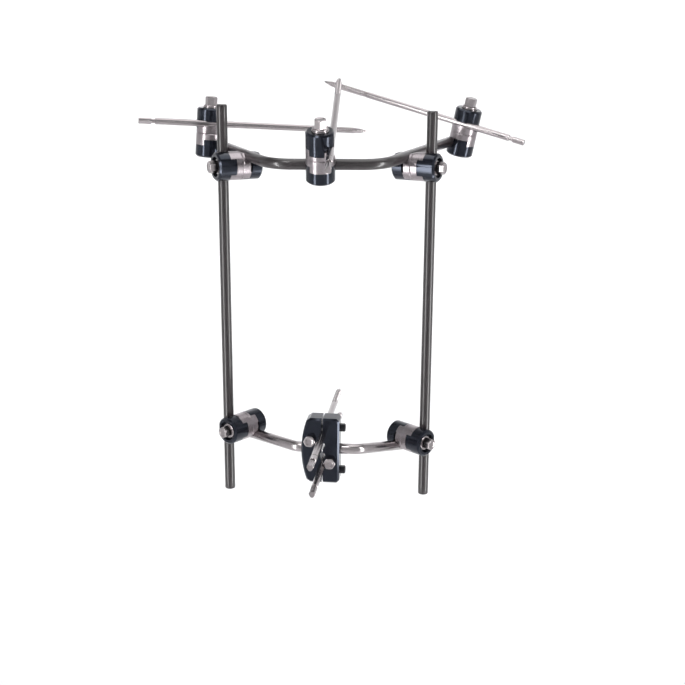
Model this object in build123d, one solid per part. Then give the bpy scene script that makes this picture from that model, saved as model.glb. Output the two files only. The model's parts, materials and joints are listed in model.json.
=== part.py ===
from build123d import *

import os
from math import asin, atan2, cos, radians, sin, tan

# External fixator for a lower leg, in millimetres.
# +X is to the wearer's left as seen from the front, +Y runs from the front into the limb, +Z is up.
# The origin is the thread root of the upper distal half pin, where it meets the bone.

# Rods, bar and posts share one round section
ROD_D = 8.0
ROD_LENGTH = 300.0
ROD_SPACING = 153.6
ROD_END_CHAMFER = 0.8
LEFT_ROD_FOOT = -45.2         # below the level of the posts in the block
RIGHT_ROD_FOOT = -49.2
RODS_BEHIND_BLOCK = 28.5      # from the block's middle back to the plane of the rods
RODS_BESIDE_BLOCK = 2.2       # from the block's slit to the middle between the rods

# Bar bent to a U, its front run ahead of the rods and its arms running back
BAR_FRONT = 78.8              # between the two corners, before they are rounded
BAR_FORWARD = 37.8
BAR_LEVEL = 216.2             # height of the front run above the posts in the block
BAR_RISE_DEG = 2.9            # the arms rise towards the back
LEFT_BAR_ARM = 112.0
RIGHT_BAR_ARM = 149.0
BAR_BEND_R = 25.0

# Posts bent out of the block to the lower couplings
LEFT_POST_REACH = 20.8        # from the slit to the corner, before it is rounded
RIGHT_POST_REACH = 26.0
LEFT_POST_DROP = 0.7          # how far each post falls by the time it reaches its coupling
RIGHT_POST_DROP = 10.0
POST_BEND_R = 12.0
POST_OVERHANG = 4.0           # post beyond the coupling

# Couplings and pin clamps: two gripping halves that swivel on one bolt
CLAMP_D = 21.0
MOUTH_FLAT = 9.6              # from the bolt to the flat at the open side
GRIP_OFFSET = 7.4             # from the bolt to the middle of what is gripped
THICK_PLATE = 9.5             # outer plate of a rod coupling
THIN_PLATE = 6.0              # inner plate of a rod coupling
PIN_PLATE = 7.6               # outer plate of a pin clamp
BAR_PLATE = 9.0               # inner plate of a pin clamp
JAW_HEIGHT = 9.2
PIN_JAW_HEIGHT = 11.4
CAP_CHAMFER = 1.2
PLATE_CHAMFER = 0.5
MOUTH_GAP = 1.6               # between plate and jaw at the open side
HEEL_DEPTH = 7.0              # of the pad where plate and jaw bear on each other
TONGUE_W = 11.5
TONGUE_T = 3.0
TONGUE_H = 4.2
TONGUE_BACK = 2.5             # a pin clamp's side tongues lie this far behind the bolt
TONGUE_CLEARANCE = 0.15
GRIP_CLEARANCE = 0.1

# Bolts, washers and disc springs of the clamps
BOLT_D = 5.0
BOLT_CLEARANCE = 0.25
THREAD_CLEARANCE = 0.05
BOLT_RECESS = 0.8             # the bolt ends this far inside the inner jaw
FLANGE_D = 11.4
FLANGE_T = 1.2
DISH_D = 14.6                 # round dish in a coupling's cap, where the bolt is seated
DISH_DEPTH = 3.4
HEX_FLATS = 8.0
HEX_H = 6.4
HEX_CHAMFER = 0.7
WASHER_D = 12.4
WASHER_T = 0.8
SPRING_D = 11.0
SPRING_T = 0.6
SPRING_RECESS = 0.6           # in each plate
SPRING_PLAY = 0.05

# Half pins: drive end, smooth shank, bone thread, drilling tip
PIN_D = 5.0
PIN_LENGTH = 180.0
THREAD_D = 4.0                # plain core, the fine thread's crest is left off
THREAD_LENGTH = 40.0
TIP_LENGTH = 6.0
TIP_D = 1.2
FLUTE_W = 1.6
DRIVE_LENGTH = 9.5
DRIVE_FLAT = 2.0              # from the pin's middle to each drive flat
DRIVE_SIDES = 3
NECK_LENGTH = 3.0
NECK_D = 3.2
MARK_FROM_END = 20.0
MARK_W = 1.0
MARK_DEPTH = 0.2

# Where each pin clamp sits and how its pin is turned
LEFT_CLAMP_ALONG = 98.4       # along the arm, from the corner
RIGHT_CLAMP_ALONG = 129.0
CENTRE_CLAMP_ASIDE = -4.0     # along the front run, from its middle
LEFT_CLAMP_TILT = 3.4         # about the bar, degrees
RIGHT_CLAMP_TILT = 13.0
CENTRE_CLAMP_TILT = 16.5
LEFT_PIN_HEADING = 16.9       # plan direction of each pin towards the bone, degrees from +X
RIGHT_PIN_HEADING = 151.7
CENTRE_PIN_HEADING = 87.8
LEFT_PIN_TAIL = 55.9          # from the clamp's bolt to the drive end
RIGHT_PIN_TAIL = 52.9
CENTRE_PIN_TAIL = 41.0

# Distal block: a bulged left jaw and a flat-sided right jaw, closed on the pins by cross bolts
BLOCK_LEFT = 16.0             # from the slit's middle to the fullest part of the left flank
BLOCK_RIGHT = 13.0            # from the slit's middle to the right flank
BLOCK_H = 51.5
BLOCK_DEPTH = 15.0
BLOCK_BULGE = 4.7             # the left flank is fuller by this in the middle than at its ends
BLOCK_CORNER = 2.2
BLOCK_CHAMFER = 1.4
BLOCK_YAW_DEG = 6.4           # the front turned to the wearer's right
SLIT = 1.0
SEAT_PITCH = 8.0
SEAT_COUNT = 4
SEAT_CLEARANCE = 0.1
POST_START = 4.5              # from the slit's middle to the end of each post in its socket
PINCH_RISE = 8.6              # pinch screw above the post
LEFT_PINCH_ASIDE = 9.2        # pinch screw beside the slit
RIGHT_PINCH_ASIDE = 6.0
PINCH_D = 5.0
PINCH_HEX_H = 4.8
PINCH_SLOT = 1.2
PINCH_SLOT_END = 13.0
CROSS_BOLT_D = 3.4
CROSS_BOLT_RISE = 17.0
CROSS_HEX_FLATS = 5.5
CROSS_HEX_H = 4.0
HOLE_CLEARANCE = 0.15
UPPER_DISTAL_TAIL = 72.0      # from the block's middle to the drive end
LOWER_DISTAL_TAIL = 63.0

# Places that follow from the sizes above
GRIP_SPACING = THICK_PLATE + THIN_PLATE
BLOCK_STANDOFF = PIN_LENGTH - THREAD_LENGTH - UPPER_DISTAL_TAIL
SEAT_TOP = SEAT_PITCH * (SEAT_COUNT - 1) / 2
PIN_AXIS = Vector(sin(radians(BLOCK_YAW_DEG)), cos(radians(BLOCK_YAW_DEG)), 0)
BLOCK_ACROSS = Vector(PIN_AXIS.Y, -PIN_AXIS.X, 0)
BLOCK_CENTRE = PIN_AXIS * -BLOCK_STANDOFF - Vector(0, 0, SEAT_TOP)
RODS_MIDDLE = BLOCK_CENTRE + Vector(RODS_BESIDE_BLOCK, RODS_BEHIND_BLOCK, 0)
UP = Vector(0, 0, 1)
FROM_BASE = (Align.CENTER, Align.CENTER, Align.MIN)


def axis_plane(point, axis, across=None):
    """Plane at a point whose normal is the given axis."""
    if across is None:
        return Plane(origin=point, z_dir=axis)
    return Plane(origin=point, x_dir=across, z_dir=axis)


def rod_place(side):
    """Middle of a rod at post level; side is -1 for the left rod and 1 for the right one."""
    return RODS_MIDDLE + Vector(side * ROD_SPACING / 2, 0, 0)


def arm_heading(corner, side):
    """Plan direction from a corner along the line that clears the rod by the grip spacing."""
    to_rod = rod_place(side) - corner
    reach = Vector(to_rod.X, to_rod.Y, 0).length
    angle = atan2(to_rod.Y, to_rod.X) + side * asin(GRIP_SPACING / reach)
    return Vector(cos(angle), sin(angle), 0)


def coupling_reach(corner, heading, side):
    """Plan distance along an arm from its corner to the coupling's bolt."""
    return (rod_place(side) - corner).dot(heading) - GRIP_OFFSET


def bar_corner(side):
    """Corner of the bar before it is rounded."""
    return RODS_MIDDLE + Vector(side * BAR_FRONT / 2, -BAR_FORWARD, BAR_LEVEL)


def bar_arm(side):
    """Unit direction of a bar arm, which lies in the bar's rising plane."""
    heading = arm_heading(bar_corner(side), side)
    rise = heading.Y * tan(radians(BAR_RISE_DEG))
    return (heading + UP * rise).normalized()


def post_corner(side):
    """Corner of a post before it is rounded, straight out of the block's side."""
    reach = LEFT_POST_REACH if side < 0 else RIGHT_POST_REACH
    return BLOCK_CENTRE + BLOCK_ACROSS * side * reach


def post_arm(side):
    """Unit direction of a post from its corner to its coupling."""
    corner = post_corner(side)
    heading = arm_heading(corner, side)
    drop = LEFT_POST_DROP if side < 0 else RIGHT_POST_DROP
    fall = drop / coupling_reach(corner, heading, side)
    return (heading - UP * fall).normalized()


def round_bar(points, bend_r):
    """Round bar along straight runs with rounded corners and eased ends."""
    path = FilletPolyline(*points, radius=bend_r) if bend_r else Line(*points)
    section = axis_plane(path @ 0, path % 0) * Circle(ROD_D / 2)
    solid = sweep(section, path=path)
    ends = [face for face in solid.faces() if face.geom_type == GeomType.PLANE]
    return chamfer([edge for face in ends for edge in face.edges()], ROD_END_CHAMFER)


def clamp_blank(height, ease, end):
    """Round clamp body with a flat at the open side, towards +X.

    Its edge is eased at one end, the lowest for 0 and the highest for -1.
    """
    turned = Cylinder(CLAMP_D / 2, height, align=FROM_BASE)
    turned = chamfer(turned.faces().sort_by(Axis.Z)[end].edges(), ease)
    slab = Pos(MOUTH_FLAT) * Box(2 * CLAMP_D, 2 * CLAMP_D, height, align=(Align.MAX, Align.CENTER, Align.MIN))
    rim = slab.faces().sort_by(Axis.Z)[end].edges().sort_by(Axis.X)[-1]
    return turned & chamfer(rim, ease)


def clamp_half(plate_t, jaw_h, grip_d, hole_d, side_tongues):
    """One gripping half: a plate on the swivel face and a jaw above it, both grooved.

    The bolt is on Z, the swivel face on z = 0, the mouth opens towards +X and the groove is along Y.
    Tongues on the jaw, one at the heel or one at each side, keep the pieces in line while the mouth opens.
    """
    plate = clamp_blank(plate_t, PLATE_CHAMFER, 0)
    jaw = Pos(0, 0, plate_t) * clamp_blank(jaw_h, CAP_CHAMFER, -1)

    groove = Pos(GRIP_OFFSET, 0, plate_t) * Rot(90, 0, 0) * Cylinder(grip_d / 2 + GRIP_CLEARANCE, 2 * CLAMP_D)
    relief_w = 2 * CLAMP_D
    relief = Pos(HEEL_DEPTH - CLAMP_D / 2 + relief_w / 2, 0, plate_t) * Box(relief_w, relief_w, MOUTH_GAP)
    hole = Cylinder(hole_d / 2, plate_t + jaw_h, align=FROM_BASE)
    recess = Cylinder(SPRING_D / 2 + SPRING_PLAY, SPRING_RECESS, align=FROM_BASE)
    plate = plate - relief - hole - recess
    jaw = jaw - relief - hole

    room = TONGUE_CLEARANCE
    turns = (90, -90) if side_tongues else (180,)
    root = plate_t + MOUTH_GAP / 2
    for turn in turns:
        shift = Pos(-TONGUE_BACK) if side_tongues else Pos()
        edge = shift * Rot(0, 0, turn) * Pos(CLAMP_D / 2)
        tongue = Circle(CLAMP_D / 2) & edge * Rectangle(2 * TONGUE_T, TONGUE_W)
        notch = edge * Rectangle(2 * (TONGUE_T + room), TONGUE_W + 2 * room)
        jaw += Pos(0, 0, root) * extrude(tongue, plate_t - TONGUE_H - root)
        plate -= Pos(0, 0, root) * extrude(notch, plate_t - TONGUE_H - room - root)
    return plate - groove, jaw - groove


def hex_head(flats, height):
    """Hexagon head with its upper corners turned off."""
    head = extrude(RegularPolygon(flats / 2, 6, major_radius=False), height)
    corner = flats / 2 / cos(radians(30))
    turned = Cylinder(corner, height, align=FROM_BASE)
    return head & chamfer(turned.faces().sort_by(Axis.Z)[-1].edges(), HEX_CHAMFER)


def clamp_bolt(seat, end):
    """Flanged hexagon bolt on Z that sits on its washer at one height and ends at another."""
    under = seat + WASHER_T
    shank = Pos(0, 0, end) * Cylinder(BOLT_D / 2, under - end, align=FROM_BASE)
    flange = Pos(0, 0, under) * Cylinder(FLANGE_D / 2, FLANGE_T, align=FROM_BASE)
    return shank + flange + Pos(0, 0, under + FLANGE_T) * hex_head(HEX_FLATS, HEX_H)


def clamp_washer(seat):
    """Flat washer between the outer jaw and the bolt's flange."""
    ring = Circle(WASHER_D / 2) - Circle(BOLT_D / 2 + BOLT_CLEARANCE)
    return Pos(0, 0, seat) * extrude(ring, WASHER_T)


def disc_spring():
    """Coned disc spring in the recesses of the two plates, which pushes the halves apart."""
    inner = BOLT_D / 2 + BOLT_CLEARANCE
    outer = SPRING_D / 2 - SPRING_PLAY
    low = SPRING_PLAY - SPRING_RECESS
    high = SPRING_RECESS - SPRING_PLAY
    section = Polyline(
        (outer, 0, low), (outer, 0, low + SPRING_T), (inner, 0, high), (inner, 0, high - SPRING_T), close=True
    )
    return revolve(make_face(section), Axis.Z)


def clamp_pieces(outer, inner, grip_d, side_tongues, dish_depth):
    """Pieces of one clamp on Z before they are placed.

    outer and inner are the heights of plate and jaw in its two halves.
    """
    outer_plate, outer_jaw = clamp_half(*outer, grip_d, BOLT_D + 2 * BOLT_CLEARANCE, side_tongues)
    inner_plate, inner_jaw = clamp_half(*inner, ROD_D, BOLT_D + 2 * THREAD_CLEARANCE, side_tongues)
    seat = sum(outer) - dish_depth
    if dish_depth:
        outer_jaw -= Pos(0, 0, seat) * Cylinder(DISH_D / 2, 2 * dish_depth, align=FROM_BASE)
    bolt = clamp_bolt(seat, BOLT_RECESS - sum(inner))
    return {
        "outer": {"outer_plate": outer_plate, "outer_jaw": outer_jaw},
        "inner": {"inner_plate": inner_plate, "inner_jaw": inner_jaw},
        "bolt": {"bolt": bolt, "washer": clamp_washer(seat), "disc_spring": disc_spring()},
    }


def place_clamp(pieces, centre, axis, outer_mouth, inner_mouth):
    """Put a clamp's bolt on an axis and turn each half so that its mouth faces what it grips."""
    planes = {
        "outer": axis_plane(centre, axis, outer_mouth),
        "inner": axis_plane(centre, axis * -1, inner_mouth),
        "bolt": axis_plane(centre, axis, outer_mouth),
    }
    return {name: planes[half] * solid for half, group in pieces.items() for name, solid in group.items()}


def rod_coupling(pieces, corner, arm, side, arm_above):
    """Coupling between an upright rod and an arm that passes it at the grip spacing."""
    heading = Vector(arm.X, arm.Y, 0).normalized()
    reach = coupling_reach(corner, heading, side)
    axis = Vector(side * heading.Y, -side * heading.X, 0)
    over = 1 if arm_above else -1
    run = heading.dot(arm)
    level = corner.Z + arm.Z / run * reach - over * GRIP_OFFSET / run
    on_arm = corner + heading * reach
    centre = Vector(on_arm.X, on_arm.Y, level) + axis * THIN_PLATE
    to_arm = arm.cross(axis)
    if to_arm.Z * over < 0:
        to_arm = to_arm * -1
    return place_clamp(pieces, centre, axis, heading, to_arm)


def pin_clamp(pieces, bar_point, bar_axis, tilt, pin_heading, bar_side, pin_side):
    """Clamp on the bar with its pin above; returns its pieces, the pin's point and its direction.

    bar_side and pin_side are rough directions from the bolt towards the bar and towards the pin.
    """
    upright = (UP - bar_axis * UP.dot(bar_axis)).normalized()
    axis = upright.rotate(Axis((0, 0, 0), bar_axis), tilt)
    to_bar = bar_axis.cross(axis)
    if to_bar.dot(bar_side) < 0:
        to_bar = to_bar * -1
    centre = bar_point - to_bar * GRIP_OFFSET + axis * BAR_PLATE
    level = Vector(cos(radians(pin_heading)), sin(radians(pin_heading)), 0)
    pin_axis = (level - UP * (level.dot(axis) / axis.Z)).normalized()
    to_pin = pin_axis.cross(axis)
    if to_pin.dot(pin_side) < 0:
        to_pin = to_pin * -1
    pin_point = centre + axis * PIN_PLATE + to_pin * GRIP_OFFSET
    return place_clamp(pieces, centre, axis, to_pin, to_bar), pin_point, pin_axis


def half_pin():
    """Half pin on Z with its drive end at z = 0."""
    shank_end = PIN_LENGTH - THREAD_LENGTH
    cone_start = PIN_LENGTH - TIP_LENGTH
    profile = Polyline(
        (0, 0, 0), (PIN_D / 2, 0, 0), (PIN_D / 2, 0, shank_end), (THREAD_D / 2, 0, shank_end),
        (THREAD_D / 2, 0, cone_start), (TIP_D / 2, 0, PIN_LENGTH), (0, 0, PIN_LENGTH), close=True,
    )
    pin = revolve(make_face(profile), Axis.Z)
    neck = Circle(PIN_D) - Circle(NECK_D / 2)
    mark = Circle(PIN_D) - Circle(PIN_D / 2 - MARK_DEPTH)
    pin -= Pos(0, 0, DRIVE_LENGTH) * extrude(neck, NECK_LENGTH)
    pin -= Pos(0, 0, MARK_FROM_END) * extrude(mark, MARK_W)
    flat = Pos(DRIVE_FLAT + PIN_D / 2) * Box(PIN_D, PIN_D, DRIVE_LENGTH, align=FROM_BASE)
    for turn in range(DRIVE_SIDES):
        pin -= Rot(0, 0, turn * 360 / DRIVE_SIDES) * flat
    flute = Pos(FLUTE_W / 2, TIP_D / 2, cone_start)
    flute = flute * Box(FLUTE_W, PIN_D, TIP_LENGTH, align=(Align.MIN, Align.MIN, Align.MIN))
    for turn in (0, 180):
        pin -= Rot(0, 0, turn) * flute
    return pin


def pin_through(point, axis, tail):
    """Half pin whose shank passes a point, with its drive end a given way behind it."""
    return axis_plane(point - axis * tail, axis) * half_pin()


def block_jaw(side, bulge, pinch_aside):
    """Right-hand block jaw about the block's middle: X across, Y into the limb, Z up."""
    top = BLOCK_H / 2
    inner = SLIT / 2
    rim = side - bulge
    lines = Polyline((rim, top), (inner, top), (inner, -top), (rim, -top))
    flank = ThreePointArc((rim, -top), (side, 0), (rim, top)) if bulge else Line((rim, -top), (rim, top))
    jaw = extrude(Plane.XZ * make_face([*lines.edges(), flank]), BLOCK_DEPTH / 2, both=True)
    jaw = chamfer(jaw.edges().filter_by(Axis.Y).group_by(Axis.X)[-1], BLOCK_CORNER)
    rims = [f for f in jaw.faces() if abs(f.normal_at().Y) > 0.9]
    outer = [e for f in rims for e in f.edges() if e.center().X > inner + BLOCK_CHAMFER]
    jaw = chamfer(outer, BLOCK_CHAMFER)
    seat = Rot(90, 0, 0) * Cylinder(PIN_D / 2 + SEAT_CLEARANCE, 2 * BLOCK_DEPTH)
    for index in range(SEAT_COUNT):
        jaw -= Pos(0, 0, SEAT_TOP - index * SEAT_PITCH) * seat
    for rise in (CROSS_BOLT_RISE, -CROSS_BOLT_RISE):
        jaw -= Pos(0, 0, rise) * Rot(0, 90, 0) * Cylinder(CROSS_BOLT_D / 2 + HOLE_CLEARANCE, 3 * side)
    socket = Rot(0, 90, 0) * Cylinder(ROD_D / 2 + GRIP_CLEARANCE, side, align=FROM_BASE)
    jaw -= Pos(POST_START) * socket
    slot = Box(side, PINCH_SLOT, PINCH_SLOT_END, align=(Align.MIN, Align.CENTER, Align.MAX))
    jaw -= Pos(POST_START) * slot
    screw_hole = Rot(90, 0, 0) * Cylinder(PINCH_D / 2 + HOLE_CLEARANCE, 2 * BLOCK_DEPTH)
    return jaw - Pos(pinch_aside, 0, -PINCH_RISE) * screw_hole


def pinch_screw(pinch_aside):
    """Hexagon screw from the block's front, on -Y, under the right post."""
    shank = Cylinder(PINCH_D / 2, BLOCK_DEPTH, align=(Align.CENTER, Align.CENTER, Align.MAX))
    screw = shank + hex_head(HEX_FLATS, PINCH_HEX_H)
    return Pos(pinch_aside, -BLOCK_DEPTH / 2, -PINCH_RISE) * Rot(90, 0, 0) * screw


def cross_bolt():
    """Bolt across both jaws with its head on the right-hand flank."""
    length = BLOCK_RIGHT + BLOCK_LEFT - BLOCK_BULGE
    shank = Cylinder(CROSS_BOLT_D / 2, length, align=(Align.CENTER, Align.CENTER, Align.MAX))
    return Pos(BLOCK_RIGHT) * Rot(0, 90, 0) * (shank + hex_head(CROSS_HEX_FLATS, CROSS_HEX_H))


def straight_rod(side):
    """One upright rod."""
    foot = rod_place(side) + UP * (LEFT_ROD_FOOT if side < 0 else RIGHT_ROD_FOOT)
    return round_bar([foot, foot + UP * ROD_LENGTH], 0)


def bent_bar():
    """Front bar with its two arms."""
    left, right = bar_corner(-1), bar_corner(1)
    points = [left + bar_arm(-1) * LEFT_BAR_ARM, left, right, right + bar_arm(1) * RIGHT_BAR_ARM]
    return round_bar(points, BAR_BEND_R)


def bent_post(side):
    """Post from its socket in the block to just past its coupling."""
    corner, arm = post_corner(side), post_arm(side)
    heading = Vector(arm.X, arm.Y, 0).normalized()
    length = (coupling_reach(corner, heading, side) + CLAMP_D / 2 + POST_OVERHANG) / heading.dot(arm)
    start = BLOCK_CENTRE + BLOCK_ACROSS * side * POST_START
    return round_bar([start, corner, corner + arm * length], POST_BEND_R)


def build_parts():
    """All pieces by node name."""
    parts = {"left_rod": straight_rod(-1), "right_rod": straight_rod(1), "curved_bar": bent_bar()}
    parts["left_post"] = bent_post(-1)
    parts["right_post"] = bent_post(1)

    coupling = clamp_pieces((THICK_PLATE, JAW_HEIGHT), (THIN_PLATE, JAW_HEIGHT), ROD_D, False, DISH_DEPTH)
    hardware = {"upper": {}, "lower": {}}
    for level, corner_of, arm_of in (("upper", bar_corner, bar_arm), ("lower", post_corner, post_arm)):
        for name, side in (("left", -1), ("right", 1)):
            placed = rod_coupling(coupling, corner_of(side), arm_of(side), side, level == "upper")
            for piece, solid in placed.items():
                if piece in coupling["bolt"]:
                    hardware[level].setdefault(piece, []).append(solid)
                else:
                    parts[f"{level}_{name}_coupling_{piece}"] = solid
        for piece, solids in hardware[level].items():
            parts[f"{level}_coupling_{piece}s"] = Compound(children=solids)

    pin_holder = clamp_pieces((PIN_PLATE, PIN_JAW_HEIGHT), (BAR_PLATE, JAW_HEIGHT), PIN_D, True, 0)
    front = Vector(0, -1, 0)
    across = Vector(1, 0, 0)
    bar_middle = (bar_corner(-1) + bar_corner(1)) * 0.5
    clamps = {
        "left": (bar_corner(-1) + bar_arm(-1) * LEFT_CLAMP_ALONG, bar_arm(-1), LEFT_CLAMP_TILT,
                 LEFT_PIN_HEADING, across, front, LEFT_PIN_TAIL),
        "centre": (bar_middle + across * CENTRE_CLAMP_ASIDE, across, CENTRE_CLAMP_TILT,
                   CENTRE_PIN_HEADING, front * -1, across, CENTRE_PIN_TAIL),
        "right": (bar_corner(1) + bar_arm(1) * RIGHT_CLAMP_ALONG, bar_arm(1), RIGHT_CLAMP_TILT,
                  RIGHT_PIN_HEADING, across * -1, front, RIGHT_PIN_TAIL),
    }
    for name, (*place, tail) in clamps.items():
        placed, point, axis = pin_clamp(pin_holder, *place)
        for piece, solid in placed.items():
            parts[f"{name}_clamp_{piece}"] = solid
        parts[f"{name}_half_pin"] = pin_through(point, axis, tail)

    block = Plane(origin=BLOCK_CENTRE, x_dir=BLOCK_ACROSS, z_dir=UP)
    half_turn = Rot(0, 180, 0)
    parts["block_right_jaw"] = block * block_jaw(BLOCK_RIGHT, 0, RIGHT_PINCH_ASIDE)
    parts["block_left_jaw"] = block * half_turn * block_jaw(BLOCK_LEFT, BLOCK_BULGE, LEFT_PINCH_ASIDE)
    screws = [block * pinch_screw(RIGHT_PINCH_ASIDE), block * half_turn * pinch_screw(LEFT_PINCH_ASIDE)]
    parts["block_pinch_screws"] = Compound(children=screws)
    bolts = [block * Pos(0, 0, rise) * cross_bolt() for rise in (CROSS_BOLT_RISE, -CROSS_BOLT_RISE)]
    parts["block_cross_bolts"] = Compound(children=bolts)
    upper_seat = BLOCK_CENTRE + UP * SEAT_TOP
    lower_seat = BLOCK_CENTRE - UP * SEAT_TOP
    parts["distal_upper_half_pin"] = pin_through(upper_seat, PIN_AXIS, UPPER_DISTAL_TAIL)
    parts["distal_lower_half_pin"] = pin_through(lower_seat, PIN_AXIS, LOWER_DISTAL_TAIL)
    return parts


if __name__ == "__main__":
    os.makedirs("parts", exist_ok=True)
    for node, shape in build_parts().items():
        export_step(shape, f"parts/{node}.step")
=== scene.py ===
import json

import bmesh
import bpy
import numpy as np
from bpy.props import FloatProperty, FloatVectorProperty, IntProperty, PointerProperty, StringProperty
from mathutils import Matrix, Vector

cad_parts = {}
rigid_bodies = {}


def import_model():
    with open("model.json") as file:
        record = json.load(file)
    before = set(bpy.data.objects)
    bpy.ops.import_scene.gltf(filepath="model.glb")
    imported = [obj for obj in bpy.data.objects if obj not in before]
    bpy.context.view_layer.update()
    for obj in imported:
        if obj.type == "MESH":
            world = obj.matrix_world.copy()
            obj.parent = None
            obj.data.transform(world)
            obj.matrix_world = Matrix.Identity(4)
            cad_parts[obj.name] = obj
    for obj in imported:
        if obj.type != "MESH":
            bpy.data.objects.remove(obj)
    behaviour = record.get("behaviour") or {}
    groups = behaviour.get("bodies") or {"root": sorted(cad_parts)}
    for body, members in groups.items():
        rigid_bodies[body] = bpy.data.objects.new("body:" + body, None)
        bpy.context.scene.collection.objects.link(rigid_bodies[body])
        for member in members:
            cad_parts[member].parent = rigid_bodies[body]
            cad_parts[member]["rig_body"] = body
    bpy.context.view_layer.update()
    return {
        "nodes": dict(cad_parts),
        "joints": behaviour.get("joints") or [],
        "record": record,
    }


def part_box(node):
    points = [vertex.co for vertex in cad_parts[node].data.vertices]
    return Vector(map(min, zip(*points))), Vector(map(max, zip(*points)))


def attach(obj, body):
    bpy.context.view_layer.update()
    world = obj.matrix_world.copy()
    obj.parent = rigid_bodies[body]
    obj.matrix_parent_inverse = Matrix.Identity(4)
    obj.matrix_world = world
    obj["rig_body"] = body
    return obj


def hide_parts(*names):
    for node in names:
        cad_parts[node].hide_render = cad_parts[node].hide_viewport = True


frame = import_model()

bl_info = {
    "name": "External fixator",
    "version": (1, 0, 0),
    "blender": (4, 5, 0),
    "location": "View3D > Sidebar > Fixator",
    "description": "Dresses the packed fixator with carbon rods, threaded pins, rounded clamps and finishes",
    "category": "Object",
}

NODES = frame["nodes"]
SLOTS = {entry["node"]: entry["material_slot"] for entry in frame["record"]["subparts"]}
MOUNTS = {mount["name"]: mount for mount in frame["record"]["mounts"]}
JOINTS = {joint["name"]: joint for joint in frame["joints"]}
PIN_CLAMPS = ("left", "centre", "right")
SIDES = {"left": -1, "right": 1}
UP = np.array([0.0, 0.0, 1.0])
BACK = np.array([0.0, 1.0, 0.0])

# Columns round a bolt or a washer, a multiple of twelve so that a hexagon's corners fall on them
BOLT_COLUMNS = 72

# Angles between faces: below the first they are one flat, above the next an edge is rounded, and above
# the last it is shaded sharp
FLAT_BELOW, ROUND_ABOVE, SHARP_ABOVE = np.radians((0.5, 32.0, 38.0))


def length(name, default, description):
    """A length property in metres."""
    return FloatProperty(name=name, description=description, default=default, unit="LENGTH", precision=5)


def colour(name, default, description):
    """A colour property that holds an sRGB hex value."""
    return StringProperty(name=name, description=description, default=default)


class FixatorRodSizes(bpy.types.PropertyGroup):
    """Straight rods, bent bar and posts, which share one round section."""

    diameter: length("Diameter", 0.008, "Outside diameter of rods, bar and posts")
    chamfer: length("End chamfer", 0.0008, "Width of the chamfer at each end")
    columns: IntProperty(name="Columns", description="Points round the section", default=72, min=12)
    bar_front: length("Bar front", 0.0788, "Front run between its corners, before they are rounded")
    bar_forward: length("Bar forward", 0.0378, "Front run ahead of the rods")
    bar_level: length("Bar level", 0.2162, "Front run above the middle of the block")
    bar_rise: FloatProperty(
        name="Bar rise", description="Slope of the bar's plane", default=np.radians(2.9), unit="ROTATION"
    )
    left_bar_arm: length("Left bar arm", 0.112, "Left arm from its corner to its end")
    right_bar_arm: length("Right bar arm", 0.149, "Right arm from its corner to its end")
    bar_bend: length("Bar bend", 0.025, "Radius of the bar's middle line in a bend")
    left_post_reach: length("Left post reach", 0.0208, "From the slit to the left post's corner")
    right_post_reach: length("Right post reach", 0.026, "From the slit to the right post's corner")
    left_post_drop: length("Left post drop", 0.0007, "Fall of the left post on its way to its coupling")
    right_post_drop: length("Right post drop", 0.01, "Fall of the right post on its way to its coupling")
    post_bend: length("Post bend", 0.012, "Radius of a post's middle line in its bend")
    post_overhang: length("Post overhang", 0.004, "Post beyond its coupling")


class FixatorClampSizes(bpy.types.PropertyGroup):
    """Couplings and pin clamps with their bolts and washers."""

    diameter: length("Clamp diameter", 0.021, "Outside diameter of a clamp")
    grip_offset: length("Grip offset", 0.0074, "From the bolt to the middle of what is gripped")
    thick_plate: length("Thick plate", 0.0095, "Outer plate of a coupling")
    thin_plate: length("Thin plate", 0.006, "Inner plate of a coupling")
    pin_plate: length("Pin plate", 0.0076, "Outer plate of a pin clamp")
    bar_plate: length("Bar plate", 0.009, "Inner plate of a pin clamp")
    jaw: length("Jaw", 0.0092, "Height of a jaw that grips a rod")
    pin_jaw: length("Pin jaw", 0.0114, "Height of a jaw that grips a pin")
    bolt: length("Bolt", 0.005, "Shank diameter of a clamp's bolt")
    bolt_recess: length("Bolt recess", 0.0008, "The bolt ends this far inside the inner jaw")
    flange: length("Flange", 0.0114, "Diameter of the bolt's flange")
    flange_t: length("Flange thickness", 0.0012, "Thickness of the bolt's flange")
    hexagon: length("Hexagon", 0.008, "Width of the bolt's head across its flats")
    head: length("Head", 0.0064, "Height of the bolt's hexagon")
    dish: length("Dish", 0.0034, "Depth of the dish in a coupling's cap, where the bolt is seated")
    washer: length("Washer", 0.0124, "Outside diameter of a washer")
    washer_t: length("Washer thickness", 0.0008, "Thickness of a washer")
    bore_play: length("Bore play", 0.00025, "Gap between the bolt and the washer's hole")
    plate_edge: length("Plate edge", 0.0004, "Rounding of the edges of plates")
    jaw_edge: length("Jaw edge", 0.0008, "Rounding of the edges of jaws")


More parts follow.
